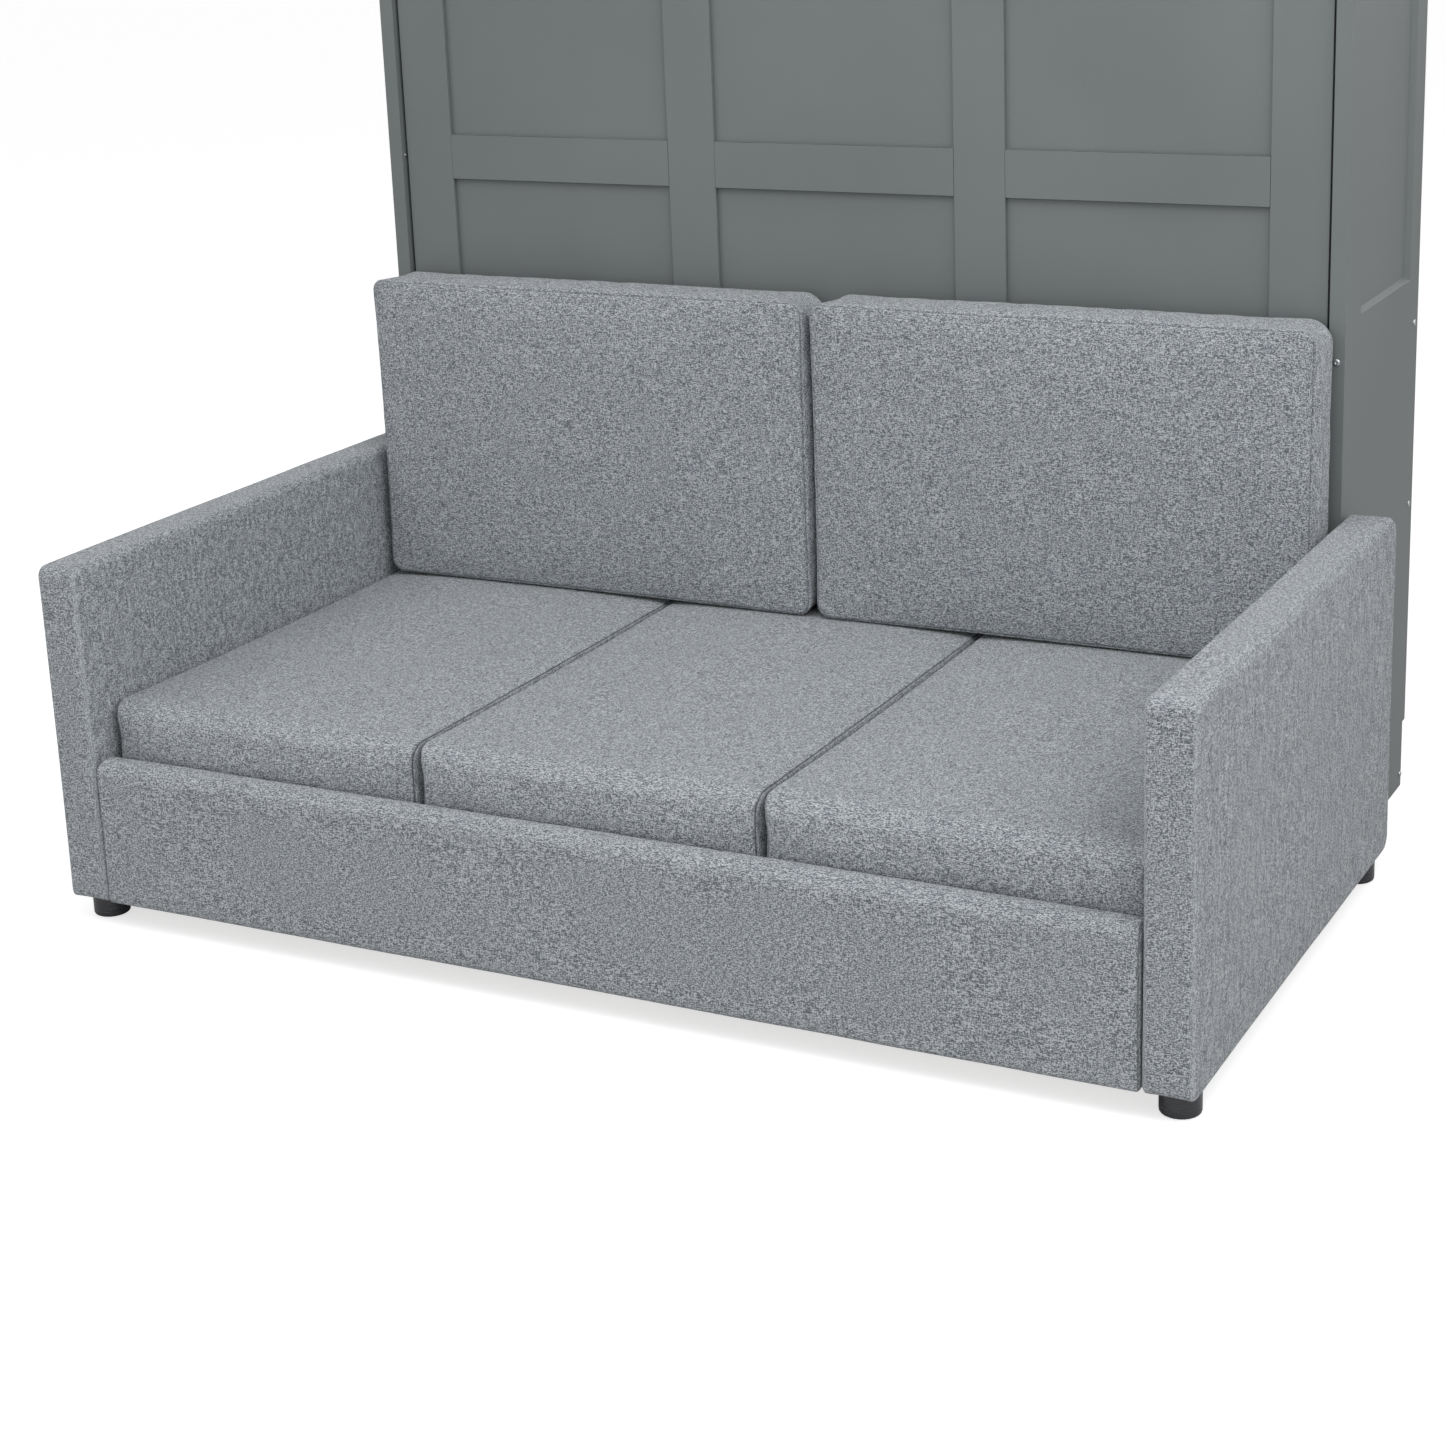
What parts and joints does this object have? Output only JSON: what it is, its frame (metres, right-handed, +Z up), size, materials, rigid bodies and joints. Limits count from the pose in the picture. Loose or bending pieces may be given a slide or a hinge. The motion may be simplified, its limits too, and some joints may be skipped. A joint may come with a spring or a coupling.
{
  "type": "wall bed with sofa",
  "caption": "Panelled cabinet bed that folds down over a low three-seat sofa, on side pivots with gas springs, its loose back cushions tipping flat and its legs dropping as it opens.",
  "frame": {"origin": "on the floor, in the middle of the outline of the cabinet and the sofa together", "axes": "+Z up, +Y towards the wall behind the cabinet, +X to the right of someone facing the sofa"},
  "size_m": [1.8026, 1.332, 2.3],
  "materials": {
    "painted_board": "satin grey paint",
    "raw_board": "matt grey board",
    "pine": "planed, unpainted",
    "upholstery": "heathered grey weave over foam",
    "zinc_steel": "zinc plated",
    "black_steel": "black powder coat",
    "black_plastic": "gloss black"
  },
  "bodies": {
    "cabinet": {"side_panel_left": "painted_board", "side_panel_right": "painted_board", "top_panel": "painted_board", "back_rail_upper": "painted_board", "back_rail_middle": "painted_board", "back_panel": "raw_board", "base_rail_front": "painted_board", "base_rail_rear": "painted_board", "pivot_plate_left": "zinc_steel", "pivot_plate_right": "zinc_steel", "spring_bracket_left": "zinc_steel", "spring_bracket_right": "zinc_steel", "bed_stop_left": "black_plastic", "bed_stop_right": "black_plastic", "sofa_arm_left": "upholstery", "sofa_arm_right": "upholstery", "sofa_front_rail": "upholstery", "sofa_front_bearer": "pine", "sofa_rear_bearer": "pine", "sofa_centre_bearer": "pine", "sofa_deck": "pine", "seat_cushion_left": "upholstery", "seat_cushion_centre": "upholstery", "seat_cushion_right": "upholstery", "sofa_foot_front_left": "black_plastic", "sofa_foot_front_right": "black_plastic", "sofa_foot_rear_left": "black_plastic", "sofa_foot_rear_right": "black_plastic", "sofa_foot_centre": "black_plastic"},
    "bed": {"door_panel": "painted_board", "door_stile_outer_left": "painted_board", "door_stile_outer_right": "painted_board", "door_stile_inner_left": "painted_board", "door_stile_inner_right": "painted_board", "door_rail_bottom": "painted_board", "door_rail_top": "painted_board", "door_rail_mid_left": "painted_board", "door_rail_mid_centre": "painted_board", "door_rail_mid_right": "painted_board", "bed_side_left": "painted_board", "bed_side_right": "painted_board", "slat_ledger_left": "pine", "slat_ledger_right": "pine", "bed_head_board": "painted_board", "bed_foot_board": "painted_board", "bed_centre_rail": "pine", "slat_set": "pine", "bed_pivot_plate_left": "zinc_steel", "bed_pivot_plate_right": "zinc_steel", "leg_bracket_left": "zinc_steel", "leg_bracket_right": "zinc_steel"},
    "back_cushion_left": {"back_cushion_left": "upholstery"},
    "gas_cylinder_left": {"gas_cylinder_left": "black_steel"},
    "gas_rod_left": {"gas_rod_left": "zinc_steel"},
    "leg_left": {"leg_left": "black_steel"},
    "back_cushion_right": {"back_cushion_right": "upholstery"},
    "gas_cylinder_right": {"gas_cylinder_right": "black_steel"},
    "gas_rod_right": {"gas_rod_right": "zinc_steel"},
    "leg_right": {"leg_right": "black_steel"}
  },
  "joints": [
    {"name": "bed_fold", "type": "hinge", "parent": "cabinet", "child": "bed", "pos_m": [0, 0.288, 0.512], "axis": [1, 0, 0], "range_deg": [0, 90], "stiffness_Nm_per_rad": 220, "springref_deg": -5.73},
    {"name": "back_cushion_left_tip", "type": "hinge", "parent": "cabinet", "child": "back_cushion_left", "pos_m": [0, 0.12, 0.354], "axis": [1, 0, 0], "range_deg": [0, 90]},
    {"name": "gas_cylinder_left_tilt", "type": "hinge", "parent": "cabinet", "child": "gas_cylinder_left", "pos_m": [-0.787, 0.438, 1.232], "axis": [1, 0, 0], "range_deg": [0, 6.45]},
    {"name": "gas_rod_left_slide", "type": "slide", "parent": "gas_cylinder_left", "child": "gas_rod_left", "axis": [0, 0.1269, 0.9919], "range_m": [0, 0.187]},
    {"name": "leg_left_fold", "type": "hinge", "parent": "bed", "child": "leg_left", "pos_m": [-0.75, 0.222, 2.215], "axis": [1, 0, 0], "range_deg": [-90, 0]},
    {"name": "back_cushion_right_tip", "type": "hinge", "parent": "cabinet", "child": "back_cushion_right", "pos_m": [0, 0.12, 0.354], "axis": [1, 0, 0], "range_deg": [0, 90]},
    {"name": "gas_cylinder_right_tilt", "type": "hinge", "parent": "cabinet", "child": "gas_cylinder_right", "pos_m": [0.787, 0.438, 1.232], "axis": [1, 0, 0], "range_deg": [0, 6.45]},
    {"name": "gas_rod_right_slide", "type": "slide", "parent": "gas_cylinder_right", "child": "gas_rod_right", "axis": [0, 0.1269, 0.9919], "range_m": [0, 0.187]},
    {"name": "leg_right_fold", "type": "hinge", "parent": "bed", "child": "leg_right", "pos_m": [0.75, 0.222, 2.215], "axis": [1, 0, 0], "range_deg": [-90, 0]}
  ],
  "couplings": [
    {"joint": "back_cushion_left_tip", "follows": "bed_fold", "ratio": 1},
    {"joint": "gas_cylinder_left_tilt", "follows": "bed_fold", "ratio": 0.07163},
    {"joint": "gas_rod_left_slide", "follows": "bed_fold", "m_per_rad": 0.119},
    {"joint": "leg_left_fold", "follows": "bed_fold", "ratio": -1},
    {"joint": "back_cushion_right_tip", "follows": "bed_fold", "ratio": 1},
    {"joint": "gas_cylinder_right_tilt", "follows": "bed_fold", "ratio": 0.07163},
    {"joint": "gas_rod_right_slide", "follows": "bed_fold", "m_per_rad": 0.119},
    {"joint": "leg_right_fold", "follows": "bed_fold", "ratio": -1}
  ]
}
